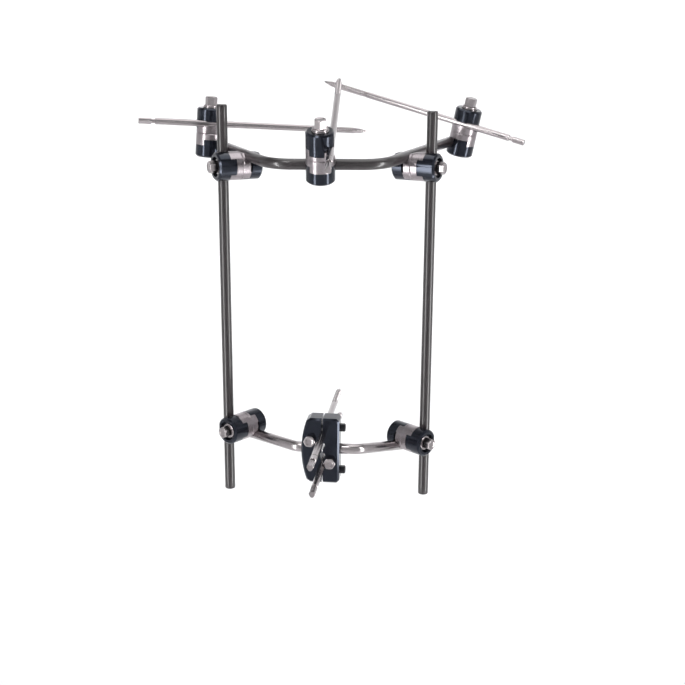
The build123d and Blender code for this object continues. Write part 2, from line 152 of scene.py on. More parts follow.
class FixatorBlockSizes(bpy.types.PropertyGroup):
    """Two-jaw block with its screws."""

    left: length("Left flank", 0.016, "From the slit to the fullest part of the left flank")
    right: length("Right flank", 0.013, "From the slit to the right flank")
    depth: length("Depth", 0.015, "From front to back")
    bulge: length("Bulge", 0.0047, "Fullness of the left flank in its middle")
    standoff: length("Standoff", 0.068, "From the start of a pin's thread back to the block's middle")
    top_seat: length("Top seat", 0.012, "Top pin seat above the block's middle")
    post_start: length("Post start", 0.0045, "From the slit to the end of a post in its socket")
    pinch_rise: length("Pinch rise", 0.0086, "Pinch screw above or below its post")
    left_pinch: length("Left pinch screw", 0.0092, "Left pinch screw beside the slit")
    right_pinch: length("Right pinch screw", 0.006, "Right pinch screw beside the slit")
    pinch_head: length("Pinch head", 0.0048, "Height of a pinch screw's hexagon")
    pinch: length("Pinch screw", 0.005, "Shank diameter of a pinch screw")
    cross_rise: length("Cross bolt rise", 0.017, "Cross bolts above and below the middle")
    cross: length("Cross bolt", 0.0034, "Shank diameter of a cross bolt")
    cross_hexagon: length("Cross hexagon", 0.0055, "Width of a cross bolt's head across its flats")
    cross_head: length("Cross head", 0.004, "Height of a cross bolt's head")
    edge: length("Edge radius", 0.0006, "Rounding of the block's edges")


class FixatorPinSizes(bpy.types.PropertyGroup):
    """Half pins."""

    shank: length("Shank", 0.005, "Diameter of the smooth shank")
    core: length("Thread core", 0.004, "Diameter at the bottom of the thread")
    crest: length("Thread crest", 0.0049, "Diameter over the thread")
    pitch: length("Thread pitch", 0.00175, "Advance of the thread in one turn")
    total: length("Length", 0.18, "From the drive end to the tip")
    thread: length("Thread length", 0.04, "Thread and tip together")
    tip: length("Tip length", 0.006, "Drilling tip")
    point: length("Point", 0.0012, "Diameter of the point")
    drive: length("Drive length", 0.0095, "End with three flats for the chuck")
    flat: length("Drive flat", 0.002, "From the pin's middle to each flat")
    neck: length("Neck length", 0.003, "Groove behind the drive end")
    neck_d: length("Neck diameter", 0.0032, "Diameter in that groove")
    mark_at: length("Mark place", 0.02, "Depth mark, from the drive end")
    mark: length("Mark width", 0.001, "Width of the depth mark")
    mark_depth: length("Mark depth", 0.0002, "Depth of the depth mark")
    columns: IntProperty(name="Columns", description="Points round a pin", default=48, min=12)
    rows: IntProperty(name="Rows per turn", description="Points along one turn of thread", default=14, min=6)


class FixatorFinishes(bpy.types.PropertyGroup):
    """Colours of the finishes as sRGB hex values."""

    carbon_dark: colour("Carbon, dark", "#0C090A", "Between the tows")
    carbon_light: colour("Carbon, light", "#2F2729", "Along the tows")
    steel: colour("Stainless steel", "#AFA9AA", "Polished stainless steel")
    plate: colour("Satin aluminium", "#A39C9F", "Blasted and clear anodised aluminium")
    black: colour("Black aluminium", "#08090E", "Black anodised aluminium")
    oxide: colour("Black oxide", "#17171B", "Blackened steel")
    spring: colour("Spring steel", "#6E6C6E", "Hardened spring steel")
    floor: colour("Floor", "#F2F2F3", "Studio sweep")


class FixatorStage(bpy.types.PropertyGroup):
    """Floor and camera."""

    floor_level: length("Floor level", -0.8, "Height of the floor")
    lens: FloatProperty(name="Lens", description="Focal length in millimetres", default=60.36, min=1.0)
    camera: FloatVectorProperty(
        name="Camera", description="Place of the camera",
        default=(0.00666, -0.88945, 0.30236), subtype="TRANSLATION",
    )
    pitch: FloatProperty(
        name="Pitch", description="Camera's tilt below the horizon", default=np.radians(15.7), unit="ROTATION"
    )
    roll: FloatProperty(
        name="Roll", description="Camera's turn about its view", default=np.radians(0.31), unit="ROTATION"
    )


def unit(vector):
    """Vector of length one."""
    vector = np.asarray(vector, float)
    return vector / np.linalg.norm(vector)


def across(axis, hint=None):
    """Two unit vectors square to an axis and to each other, the first one nearest to the hint."""
    axis = unit(axis)
    hint = np.eye(3)[np.argmin(np.abs(axis))] if hint is None else np.asarray(hint, float)
    first = unit(hint - axis * (hint @ axis))
    return first, np.cross(axis, first)


def turned(origin, axis, heights, radii, columns, hint=None):
    """Turned surface: point = origin + h axis + r(h, t) (cos t first + sin t second), with t once round.

    Also returns each point's own place on the piece: (r cos t, r sin t, h).
    """
    turn = 2 * np.pi * np.arange(columns) / columns
    heights = np.asarray(heights, float)[:, None]
    radii = np.broadcast_to(radii, (len(heights), columns))
    first, second = across(axis, hint)
    x, y = radii * np.cos(turn), radii * np.sin(turn)
    points = np.asarray(origin) + heights[..., None] * unit(axis)
    points = points + x[..., None] * first + y[..., None] * second
    return points, np.stack([x, y, np.broadcast_to(heights, radii.shape)], axis=-1)


def rounded_path(points, bend, step):
    """Middle line through points with each corner rounded.

    A corner with runs a and b that turns by f starts at S = corner - a bend tan(f / 2), and its arc is
    S + bend (a sin w + m (1 - cos w)) for w from 0 to f, with m square to a on b's side.
    Returns the points and the directions there.
    """
    points = np.asarray(points, float)
    runs = np.diff(points, axis=0)
    runs = runs / np.linalg.norm(runs, axis=1, keepdims=True)
    places, directions = [points[:1]], [runs[:1]]
    for corner, a, b in zip(points[1:-1], runs[:-1], runs[1:]):
        angle = np.arccos(a @ b)
        side = unit(b - a * (a @ b))
        w = np.linspace(0.0, angle, int(np.ceil(angle * bend / step)) + 1)[:, None]
        start = corner - a * bend * np.tan(angle / 2)
        places.append(start + bend * (a * np.sin(w) + side * (1 - np.cos(w))))
        directions.append(a * np.cos(w) + side * np.sin(w))
    places.append(points[-1:])
    directions.append(runs[-1:])
    return np.vstack(places), np.vstack(directions)


def swept_round(places, directions, normal, radius, chamfer, columns):
    """Round bar along a flat path: point = P + r (cos t N + sin t T x N), with N square to the path's plane.

    P is a place on the path and T its direction there. The radius falls by the chamfer at each end. Also
    returns each point's own place on the piece: (r cos t, r sin t, way along the path).
    """
    head, tail = directions[0], directions[-1]
    # Rings that make a chamfer: their way along it and their fall below the full radius, as shares of it
    ring_way, ring_fall = np.array([0.0, 0.35, 1.0]), np.array([1.0, 0.4, 0.0])
    rings = len(ring_way)
    ease, fall = ring_way[:, None] * chamfer, ring_fall * chamfer
    places = np.vstack([places[0] + head * ease, places[1:-1], places[-1] - tail * ease[::-1]])
    heads, tails = np.repeat(head[None], rings, 0), np.repeat(tail[None], rings, 0)
    directions = np.vstack([heads, directions[1:-1], tails])
    radii = np.full(len(places), radius)
    radii[:rings] -= fall
    radii[-rings:] -= fall[::-1]
    way = np.concatenate([[0.0], np.cumsum(np.linalg.norm(np.diff(places, axis=0), axis=1))])
    turn = 2 * np.pi * np.arange(columns) / columns
    x, y = radii[:, None] * np.cos(turn), radii[:, None] * np.sin(turn)
    second = np.cross(directions, normal)
    points = places[:, None] + x[..., None] * np.asarray(normal) + y[..., None] * second[:, None]
    return points, np.stack([x, y, np.broadcast_to(way[:, None], x.shape)], axis=-1)


def skin(name, points, lay, ends="closed"):
    """Mesh over a grid of points that is closed round its columns.

    Closed, each end row is filled by a fan to its middle. Open, only the first one is. Joined, the last row
    meets the first. Each point's place on the piece is kept as the attribute lay.
    """
    rows, columns = points.shape[:2]
    index = np.arange(rows * columns).reshape(rows, columns)
    if ends == "joined":
        index = np.vstack([index, index[:1]])
    beside = np.roll(index, -1, axis=1)
    faces = np.stack([index[:-1], beside[:-1], beside[1:], index[1:]], axis=-1).reshape(-1, 4).tolist()
    vertices, places = points.reshape(-1, 3), lay.reshape(-1, 3)
    first_rim, last_rim = (0, beside[0], index[0]), (-1, index[-1], beside[-1])
    rims = {"closed": (first_rim, last_rim), "open": (first_rim,), "joined": ()}
    for row, near, far in rims[ends]:
        middle = np.full(columns, len(vertices))
        vertices = np.vstack([vertices, points[row].mean(0)])
        places = np.vstack([places, lay[row].mean(0)])
        faces += np.stack([middle, near, far], axis=-1).tolist()
    mesh = bpy.data.meshes.new(name)
    mesh.from_pydata(vertices.tolist(), [], faces)
    mesh.attributes.new("lay", "FLOAT_VECTOR", "POINT").data.foreach_set("vector", places.ravel())
    return placed(name, mesh)


def placed(name, mesh):
    """Object for a mesh, shaded smooth except at its sharp edges."""
    mesh.polygons.foreach_set("use_smooth", np.ones(len(mesh.polygons), bool))
    mesh.set_sharp_from_angle(angle=SHARP_ABOVE)
    piece = bpy.data.objects.new(name, mesh)
    bpy.context.scene.collection.objects.link(piece)
    return piece


def joined_copy(name, node, edge):
    """Copy of a CAD node with its loose triangles joined, its flat areas made whole and its edges rounded."""
    source = NODES[node].data
    points = np.empty(len(source.vertices) * 3)
    source.vertices.foreach_get("co", points)
    corners = np.empty(len(source.loops), np.int32)
    source.loops.foreach_get("vertex_index", corners)
    # Corners that agree to a ten-thousandth of a millimetre are one point
    points = np.round(points.reshape(-1, 3), decimals=7)
    points, where = np.unique(points, axis=0, return_inverse=True)
    faces = where.ravel()[corners].reshape(-1, 3)
    whole = (faces != np.roll(faces, 1, axis=1)).all(axis=1)
    mesh = bpy.data.meshes.new(name)
    mesh.from_pydata(points.tolist(), [], faces[whole].tolist())
    shell = bmesh.new()
    shell.from_mesh(mesh)
    bmesh.ops.dissolve_limit(shell, angle_limit=FLAT_BELOW, verts=shell.verts[:], edges=shell.edges[:])
    shell.to_mesh(mesh)
    shell.free()
    piece = placed(name, mesh)
    rounding = piece.modifiers.new("rounded_edges", "BEVEL")
    rounding.width = edge
    rounding.segments = 3
    rounding.limit_method = "ANGLE"
    rounding.angle_limit = ROUND_ABOVE
    rounding.harden_normals = True
    return piece


def dress(piece, material, *nodes):
    """Gives a piece its finish and puts it on the body of the CAD nodes that it stands for."""
    piece.data.materials.append(material)
    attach(piece, NODES[nodes[0]]["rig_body"])
    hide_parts(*nodes)


def linear(code, factor=1.0):
    """Linear RGBA of an sRGB hex value, made darker or lighter by a factor.

    A dark channel c gives c / 12.92, and any other ((c + 0.055) / 1.055) to the power of 2.4.
    """
    channels = np.array([int(code[k : k + 2], 16) for k in (1, 3, 5)]) / 255
    low, high = channels / 12.92, ((channels + 0.055) / 1.055) ** 2.4
    return (*(factor * np.where(channels <= 0.04045, low, high)), 1.0)


def add(tree, kind, inputs=None, **settings):
    """Adds a node, sets its properties and fills its inputs with values or with other nodes' outputs."""
    made = tree.nodes.new(kind)
    for name, value in settings.items():
        setattr(made, name, value)
    for socket, value in (inputs or {}).items():
        if isinstance(value, bpy.types.NodeSocket):
            tree.links.new(value, made.inputs[socket])
        else:
            made.inputs[socket].default_value = value
    return made


def blank(name):
    """Empty node material of a name, and its tree."""
    material = bpy.data.materials.new(name)
    material.use_nodes = True
    material.node_tree.nodes.clear()
    return material, material.node_tree


def carbon_fibre():
    """Pultruded carbon fibre, ground round and sealed with resin.

    The tows run lengthwise, so fine light and dark streaks follow the rod, and the resin gives a clean gloss
    on top.
    """
    finish = bpy.context.scene.fixator_finishes
    material, tree = blank("carbon_fibre_sealed")
    lay = add(tree, "ShaderNodeAttribute", attribute_name="lay").outputs["Vector"]
    # A tow is about 0.35 mm wide and can be followed for 30 mm, here as cells per metre
    tows = (2900, 2900, 33)
    tow = add(tree, "ShaderNodeVectorMath", {0: lay, 1: tows}, operation="MULTIPLY").outputs[0]
    streak = add(tree, "ShaderNodeTexNoise", {"Vector": tow, "Scale": 1.0, "Detail": 4.0, "Roughness": 0.65})
    spread = {"Value": streak.outputs[0], "From Min": 0.36, "From Max": 0.66}
    tone = add(tree, "ShaderNodeMapRange", spread).outputs[0]
    dark, light = linear(finish.carbon_dark), linear(finish.carbon_light)
    body = add(tree, "ShaderNodeMix", {0: tone, 6: dark, 7: light}, data_type="RGBA").outputs[2]
    # The sealing resin is uneven over 2.5 mm round the rod and 8 mm along it
    patches = (400, 400, 120)
    patch = add(tree, "ShaderNodeVectorMath", {0: lay, 1: patches}, operation="MULTIPLY").outputs[0]
    cloud = add(tree, "ShaderNodeTexNoise", {"Vector": patch, "Scale": 1.0, "Detail": 2.0}).outputs[0]
    rough = add(tree, "ShaderNodeMapRange", {"Value": cloud, "To Min": 0.26, "To Max": 0.42}).outputs[0]
    relief = add(tree, "ShaderNodeBump", {"Height": streak.outputs[0], "Strength": 0.12, "Distance": 0.00003})
    shader = add(tree, "ShaderNodeBsdfPrincipled", {
        "Base Color": body, "Roughness": rough, "IOR": 1.55, "Normal": relief.outputs[0],
        "Coat Weight": 0.5, "Coat Roughness": 0.08,
    })
    add(tree, "ShaderNodeOutputMaterial", {"Surface": shader.outputs[0]})
    return material


def polished_steel():
    """Stainless steel, drawn and then polished round and round: bright, with hair lines round the axis."""
    finish = bpy.context.scene.fixator_finishes
    material, tree = blank("stainless_steel_polished")
    lay = add(tree, "ShaderNodeAttribute", attribute_name="lay").outputs["Vector"]
    # Hair lines are 0.02 mm apart; they are drawn at 0.12 mm so that they show, here as cells per metre
    hairs = (150, 150, 8300)
    hair = add(tree, "ShaderNodeVectorMath", {0: lay, 1: hairs}, operation="MULTIPLY").outputs[0]
    lines = add(tree, "ShaderNodeTexNoise", {"Vector": hair, "Scale": 1.0, "Detail": 3.0}).outputs[0]
    # Polishing leaves duller patches, about 4 mm wide and 14 mm long
    patches = (260, 260, 70)
    patch = add(tree, "ShaderNodeVectorMath", {0: lay, 1: patches}, operation="MULTIPLY").outputs[0]
    cloud = add(tree, "ShaderNodeTexNoise", {"Vector": patch, "Scale": 1.0, "Detail": 2.0}).outputs[0]
    rough = add(tree, "ShaderNodeMapRange", {"Value": lines, "To Min": 0.14, "To Max": 0.30}).outputs[0]
    base, dull = linear(finish.steel), linear(finish.steel, factor=0.82)
    tint = add(tree, "ShaderNodeMix", {0: cloud, 6: base, 7: dull}, data_type="RGBA").outputs[2]
    relief = add(tree, "ShaderNodeBump", {"Height": lines, "Strength": 0.08, "Distance": 0.00002})
    shader = add(tree, "ShaderNodeBsdfPrincipled", {
        "Base Color": tint, "Metallic": 1.0, "Roughness": rough, "Normal": relief.outputs[0],
    })
    add(tree, "ShaderNodeOutputMaterial", {"Surface": shader.outputs[0]})
    return material


def satin_aluminium():
    """Aluminium, turned, bead blasted and clear anodised: an even pale sheen with a faint grain."""
    finish = bpy.context.scene.fixator_finishes
    material, tree = blank("aluminium_satin_anodised")
    place = add(tree, "ShaderNodeTexCoord").outputs["Object"]
    # Blasting dents are 0.06 mm wide; they are drawn at 0.3 mm so that they show. Their tone drifts over 5 mm
    dents, drifts = 3300.0, 190.0
    grain = add(tree, "ShaderNodeTexNoise", {"Vector": place, "Scale": dents, "Detail": 2.0}).outputs[0]
    cloud = add(tree, "ShaderNodeTexNoise", {"Vector": place, "Scale": drifts, "Detail": 2.0}).outputs[0]
    base, dull = linear(finish.plate), linear(finish.plate, factor=0.86)
    tint = add(tree, "ShaderNodeMix", {0: cloud, 6: base, 7: dull}, data_type="RGBA").outputs[2]
    rough = add(tree, "ShaderNodeMapRange", {"Value": grain, "To Min": 0.20, "To Max": 0.36}).outputs[0]
    relief = add(tree, "ShaderNodeBump", {"Height": grain, "Strength": 0.10, "Distance": 0.00004})
    shader = add(tree, "ShaderNodeBsdfPrincipled", {
        "Base Color": tint, "Metallic": 1.0, "Roughness": rough, "Normal": relief.outputs[0],
    })
    add(tree, "ShaderNodeOutputMaterial", {"Surface": shader.outputs[0]})
    return material


def black_aluminium():
    """Aluminium, milled, tumbled and black anodised: blue-black, half glossy, with a fine even grain."""
    finish = bpy.context.scene.fixator_finishes
    material, tree = blank("aluminium_black_anodised")
    place = add(tree, "ShaderNodeTexCoord").outputs["Object"]
    # Tumbling marks are 0.1 mm wide; they are drawn at 0.45 mm so that they show. Their tone drifts over 6 mm
    marks, drifts = 2200.0, 160.0
    grain = add(tree, "ShaderNodeTexNoise", {"Vector": place, "Scale": marks, "Detail": 3.0}).outputs[0]
    cloud = add(tree, "ShaderNodeTexNoise", {"Vector": place, "Scale": drifts, "Detail": 2.0}).outputs[0]
    base, worn = linear(finish.black), linear(finish.black, factor=1.9)
    tint = add(tree, "ShaderNodeMix", {0: cloud, 6: base, 7: worn}, data_type="RGBA").outputs[2]
    rough = add(tree, "ShaderNodeMapRange", {"Value": grain, "To Min": 0.12, "To Max": 0.24}).outputs[0]
    relief = add(tree, "ShaderNodeBump", {"Height": grain, "Strength": 0.08, "Distance": 0.00004})
    shader = add(tree, "ShaderNodeBsdfPrincipled", {
        "Base Color": tint, "Roughness": rough, "Normal": relief.outputs[0],
        "Specular IOR Level": 0.52, "Specular Tint": (0.72, 0.8, 1.0, 1.0),
    })
    add(tree, "ShaderNodeOutputMaterial", {"Surface": shader.outputs[0]})
    return material


def blackened_steel():
    """Steel, forged, turned and black oxidised in a hot bath: dark grey with a soft oily sheen."""
    finish = bpy.context.scene.fixator_finishes
    material, tree = blank("steel_black_oxide")
    lay = add(tree, "ShaderNodeAttribute", attribute_name="lay").outputs["Vector"]
    # The oxide is uneven over about 1.1 mm
    spots = 900.0
    cloud = add(tree, "ShaderNodeTexNoise", {"Vector": lay, "Scale": spots, "Detail": 3.0}).outputs[0]
    rough = add(tree, "ShaderNodeMapRange", {"Value": cloud, "To Min": 0.30, "To Max": 0.50}).outputs[0]
    base, bare = linear(finish.oxide), linear(finish.oxide, factor=2.2)
    tint = add(tree, "ShaderNodeMix", {0: cloud, 6: base, 7: bare}, data_type="RGBA").outputs[2]
    shader = add(tree, "ShaderNodeBsdfPrincipled", {"Base Color": tint, "Metallic": 0.6, "Roughness": rough})
    add(tree, "ShaderNodeOutputMaterial", {"Surface": shader.outputs[0]})
    return material


def spring_steel():
    """Spring steel, stamped and hardened: grey, slightly rough and a little uneven."""
    finish = bpy.context.scene.fixator_finishes
    material, tree = blank("spring_steel_hardened")
    place = add(tree, "ShaderNodeTexCoord").outputs["Object"]
    # Scale from the hardening comes off in spots of about 1.4 mm
    spots = 700.0
    cloud = add(tree, "ShaderNodeTexNoise", {"Vector": place, "Scale": spots, "Detail": 2.0}).outputs[0]
    rough = add(tree, "ShaderNodeMapRange", {"Value": cloud, "To Min": 0.35, "To Max": 0.55}).outputs[0]
    shader = add(tree, "ShaderNodeBsdfPrincipled", {
        "Base Color": linear(finish.spring), "Metallic": 1.0, "Roughness": rough,
    })
    add(tree, "ShaderNodeOutputMaterial", {"Surface": shader.outputs[0]})
    return material


def studio_sweep():
    """Paper, rolled and uncoated: matt, pale and even, with a barely seen cloud."""
    finish = bpy.context.scene.fixator_finishes
    material, tree = blank("paper_sweep")
    place = add(tree, "ShaderNodeTexCoord").outputs["Object"]
    # The pulp lies unevenly over about 25 mm
    clouds = 40.0
    pulp = add(tree, "ShaderNodeTexNoise", {"Vector": place, "Scale": clouds, "Detail": 3.0}).outputs[0]
    base, shade = linear(finish.floor), linear(finish.floor, factor=0.985)
    tint = add(tree, "ShaderNodeMix", {0: pulp, 6: base, 7: shade}, data_type="RGBA").outputs[2]
    shader = add(tree, "ShaderNodeBsdfPrincipled", {"Base Color": tint, "Roughness": 0.9})
    add(tree, "ShaderNodeOutputMaterial", {"Surface": shader.outputs[0]})
    return material


FINISHES = {
    "carbon": carbon_fibre,
    "stainless_steel": polished_steel,
    "satin_aluminium": satin_aluminium,
    "black_aluminium": black_aluminium,
    "blackened_steel": blackened_steel,
    "spring_steel": spring_steel,
}
# Finishes that have been made, by material slot
MADE = {}


def finish_of(node):
    """Finish of a CAD node's material slot, made once."""
    slot = SLOTS[node]
    if slot not in MADE:
        MADE[slot] = FINISHES[slot]()
    return MADE[slot]


def rod_line(name):
    """Bottom and top of an upright rod's middle line."""
    low, high = (np.array(corner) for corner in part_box(f"{name}_rod"))
    middle = (low + high) / 2
    return np.array([middle[0], middle[1], low[2]]), np.array([middle[0], middle[1], high[2]])


def block_place():
    """The block's middle, the way across it to its right and the way along its pins to their tips."""
    block = bpy.context.scene.fixator_block
    into = unit(MOUNTS["distal_upper_thread"]["axis"])
    root = np.array(MOUNTS["distal_upper_thread"]["pos_m"])
    return root - into * block.standoff - UP * block.top_seat, np.cross(into, UP), into


def arm_heading(corner, rod, side, spacing):
    """Plan direction from a corner along the line that passes behind the rod at the grip spacing.

    It is the bearing of the rod, turned by the angle whose sine is spacing / distance.
    """
    to_rod = (rod - corner)[:2]
    angle = np.arctan2(to_rod[1], to_rod[0]) + side * np.arcsin(spacing / np.hypot(*to_rod))
    return np.array([np.cos(angle), np.sin(angle), 0.0])


def arm_of(level, name):
    """Corner, plan heading and direction of a bar arm or a post, and the plan way to its coupling's bolt."""
    rods, clamps = bpy.context.scene.fixator_rods, bpy.context.scene.fixator_clamps
    side = SIDES[name]
    middle, sideways, _ = block_place()
    rod = rod_line(name)[0]
    if level == "upper":
        between = (rod_line("left")[0] + rod_line("right")[0]) / 2
        plan = between + np.array([side * rods.bar_front / 2, -rods.bar_forward, 0.0])
        corner = np.array([plan[0], plan[1], middle[2] + rods.bar_level])
    else:
        corner = middle + sideways * side * getattr(rods, f"{name}_post_reach")
    heading = arm_heading(corner, rod, side, clamps.thick_plate + clamps.thin_plate)
    reach = (rod - corner) @ heading - clamps.grip_offset
    if level == "upper":
        slope = heading[1] * np.tan(rods.bar_rise)
    else:
        slope = -getattr(rods, f"{name}_post_drop") / reach
    return corner, heading, unit(heading + UP * slope), reach


def coupling_place(level, name):
    """Middle of a coupling's swivel face, its bolt's direction and the way its outer mouth faces."""
    clamps = bpy.context.scene.fixator_clamps
    side = SIDES[name]
    # The bolt passes under the bar, and over a post
    under = 1 if level == "upper" else -1
    corner, heading, arm, reach = arm_of(level, name)
    axis = np.array([side * heading[1], -side * heading[0], 0.0])
    run = heading @ arm
    height = corner[2] + arm[2] / run * reach - under * clamps.grip_offset / run
    on_arm = corner + heading * reach
    return np.array([on_arm[0], on_arm[1], height]) + axis * clamps.thin_plate, axis, heading


def hexagon_radius(flats, columns):
    """Radius of a hexagon over one turn: half its width / cos(angle from the nearest flat's middle)."""
    turn = 2 * np.pi * np.arange(columns) / columns
    return flats / 2 / np.cos((turn + np.pi / 6) % (np.pi / 3) - np.pi / 6)


def headed_bolt(name, seat, axis, shank, shank_length, head, flats, flange=0.0, flange_t=0.0, hint=None):
    """Hexagon bolt or screw whose head sits on a seat and points along an axis.

    Its rows are turned rings. Over the head the radius is the lesser of the hexagon's and the crown's, which
    is corner - fall u^power for u from 0 at the crown's start to 1 at the top.
    """
    ease, crown, crown_power, crown_rows = 0.00035, 0.0007, 1.4, 10
    corner = flats / 2 / np.cos(np.pi / 6)
    rows = [(-shank_length, shank / 2 - ease), (-shank_length + ease, shank / 2), (0.0, shank / 2)]
    if flange:
        rim = flange / 2
        rows += [(0.0, rim - ease / 2), (ease / 2, rim), (flange_t - ease, rim)]
        rows += [(flange_t - ease / 3, rim - ease / 3), (flange_t, rim - ease)]
    heights, rounds = np.array(rows).T
    plain = np.repeat(rounds[:, None], BOLT_COLUMNS, 1)
    # The crown takes the corners off, in rows close enough to draw its arc on each flat
    u = np.linspace(0, 1, crown_rows)
    top, fall = flange_t + head, corner - flats / 2 + ease / 2
    head_heights = np.concatenate([[flange_t, flange_t + ease / 3], top - crown * (1 - u)])
    head_rounds = np.concatenate([[corner, corner], corner - fall * u**crown_power])
    faceted = np.minimum(head_rounds[:, None], hexagon_radius(flats, BOLT_COLUMNS)[None])
    # A shallow dish is left in the top by the forging die: two rings on the top and two on the dish's floor
    dish_widths, dish_drops = np.array([0.96, 0.78, 0.70, 0.35]), np.array([0.0, 0.0, 0.6, 0.6])
    dish_heights = top - dish_drops * ease
    dished = np.repeat(dish_widths[:, None] * (flats / 2 - ease), BOLT_COLUMNS, 1)
    heights = np.concatenate([heights, head_heights, dish_heights])
    radii = np.vstack([plain, faceted, dished])
    return skin(name, *turned(seat, axis, heights, radii, BOLT_COLUMNS, hint))


def flat_washer(name, seat, axis, outer, inner, thickness):
    """Flat washer: a rectangle with eased outer corners, turned about the axis."""
    # An outer corner is eased over this share of the thickness, with one ring that bows out between
    ease = thickness * 0.22
    bow = ease * 0.3
    section = [
        (0.0, inner), (0.0, outer - ease), (bow, outer - bow), (ease, outer), (thickness - ease, outer),
        (thickness - bow, outer - bow), (thickness, outer - ease), (thickness, inner),
    ]
    heights, radii = np.array(section).T
    points, lay = turned(seat, axis, heights, radii[:, None], BOLT_COLUMNS)
    return skin(name, points, lay, ends="joined")


def half_pin(name, start, axis):
    """Half pin from its drive end: a turned profile with three drive flats, a thread and two flutes.

    A flat is flat / cos(angle from its middle). The thread adds (crest - core) / 2 times a flat-topped tooth
    of h / pitch - t / turn. A flute takes a share of the radius off where cos(2 (t - twist h)) is large.
    """
    size = bpy.context.scene.fixator_pins
    turn = 2 * np.pi * np.arange(size.columns) / size.columns
    root, cone = size.total - size.thread, size.total - size.tip
    # Eased edges, steep shoulders, the taper into the thread, its first bare part and the bare point
    ease, step, taper, lead, bare_point = 0.0003, 0.00004, 0.0012, 0.001, 0.0012
    shank, core = size.shank / 2, size.core / 2
    profile = [
        (0.0, size.flat + ease / 2), (ease, shank), (size.drive - ease, shank), (size.drive, shank - ease),
        (size.drive + step, size.neck_d / 2), (size.drive + size.neck - step, size.neck_d / 2),
        (size.drive + size.neck, shank - ease), (size.drive + size.neck + ease, shank),
        (size.mark_at, shank), (size.mark_at + step, shank - size.mark_depth),
        (size.mark_at + size.mark - step, shank - size.mark_depth), (size.mark_at + size.mark, shank),
        (root - taper, shank), (root, core + ease), (root + lead, core), (cone, core),
        (size.total, size.point / 2),
    ]
    knots, radii = np.array(profile).T
    fine = np.arange(root, size.total, size.pitch / size.rows)
    plain_start, plain_end, plain_rows = 0.025, root - 0.002, 12
    plain = np.linspace(plain_start, plain_end, plain_rows)
    heights = np.unique(np.concatenate([knots, fine, plain]))
    base = np.interp(heights, knots, radii)[:, None]

    facing = (turn + np.pi / 3) % (2 * np.pi / 3) - np.pi / 3
    on_drive = heights[:, None] < size.drive - ease / 2
    radius = np.where(on_drive, np.minimum(base, size.flat / np.cos(facing)), base)

    # Half a tooth's base and its flank are shares of the pitch. It rises to full depth in its first turns
    half_base, flank, first_turns = 0.36, 0.2, 1.5
    way = heights[:, None]
    phase = (way - root) / size.pitch - turn / (2 * np.pi)
    tooth = np.clip((half_base - np.abs(phase % 1.0 - 0.5)) / flank, 0.0, 1.0)
    run_in = np.clip((way - root) / (first_turns * size.pitch), 0.0, 1.0)
    run_out = np.clip((size.total - bare_point - way) / (size.tip + size.pitch), 0.0, 1.0)
    radius = radius + (size.crest - size.core) / 2 * tooth * run_in * run_out

    # The flutes start behind the tip, deepen over a run-in and turn by so many radians a metre
    behind, deepen, radians_a_metre = 0.004, 0.003, 60.0
    # A flute's edge and wall on the cosine, and the share that it takes of what lies outside the pin's web
    edge, wall, share, web = 0.45, 0.25, 0.55, size.point / 4
    twist = turn - radians_a_metre * (way - cone)
    flute = np.clip((np.cos(2 * twist) - edge) / wall, 0.0, 1.0)
    flute = flute * np.clip((way - cone + behind) / deepen, 0.0, 1.0)
    radius = radius - share * (radius - web) * flute
    return skin(name, *turned(start, axis, heights, radius, size.columns))


class FIXATOR_OT_rods(bpy.types.Operator):
    """Straight carbon rods"""

    bl_idname = "fixator.rods"
    bl_label = "Straight rods"

    def execute(self, context):
        size, rows = context.scene.fixator_rods, 40
        for name in SIDES:
            bottom, top = rod_line(name)
            places = bottom + (top - bottom) * np.linspace(0, 1, rows)[:, None]
            directions = np.repeat(UP[None], rows, 0)
            grid = swept_round(places, directions, BACK, size.diameter / 2, size.chamfer, size.columns)
            dress(skin(f"{name}_carbon_rod", *grid), finish_of(f"{name}_rod"), f"{name}_rod")
        return {"FINISHED"}


class FIXATOR_OT_bar(bpy.types.Operator):
    """Carbon bar bent to a U"""

    bl_idname = "fixator.bar"
    bl_label = "Bent bar"

    def execute(self, context):
        size = context.scene.fixator_rods
        left, _, left_arm, _ = arm_of("upper", "left")
        right, _, right_arm, _ = arm_of("upper", "right")
        corners = [left + left_arm * size.left_bar_arm, left, right, right + right_arm * size.right_bar_arm]
        places, directions = rounded_path(corners, size.bar_bend, step=0.0008)
        normal = unit(np.cross(right - left, right_arm))
        grid = swept_round(places, directions, normal, size.diameter / 2, size.chamfer, size.columns)
        dress(skin("bent_carbon_bar", *grid), finish_of("curved_bar"), "curved_bar")
        return {"FINISHED"}


class FIXATOR_OT_posts(bpy.types.Operator):
    """Bent steel posts between the block and the lower couplings"""

    bl_idname = "fixator.posts"
    bl_label = "Posts"

    def execute(self, context):
        scene = context.scene
        size, clamps, block = scene.fixator_rods, scene.fixator_clamps, scene.fixator_block
        middle, sideways, _ = block_place()
        for name, side in SIDES.items():
            corner, heading, arm, reach = arm_of("lower", name)
            far = (reach + clamps.diameter / 2 + size.post_overhang) / (heading @ arm)
            start = middle + sideways * side * block.post_start
            corners = [start, corner, corner + arm * far]
            places, directions = rounded_path(corners, size.post_bend, step=0.0006)
            normal = unit(np.cross(corner - start, arm))
            grid = swept_round(places, directions, normal, size.diameter / 2, size.chamfer, size.columns)
            dress(skin(f"{name}_steel_post", *grid), finish_of(f"{name}_post"), f"{name}_post")
        return {"FINISHED"}


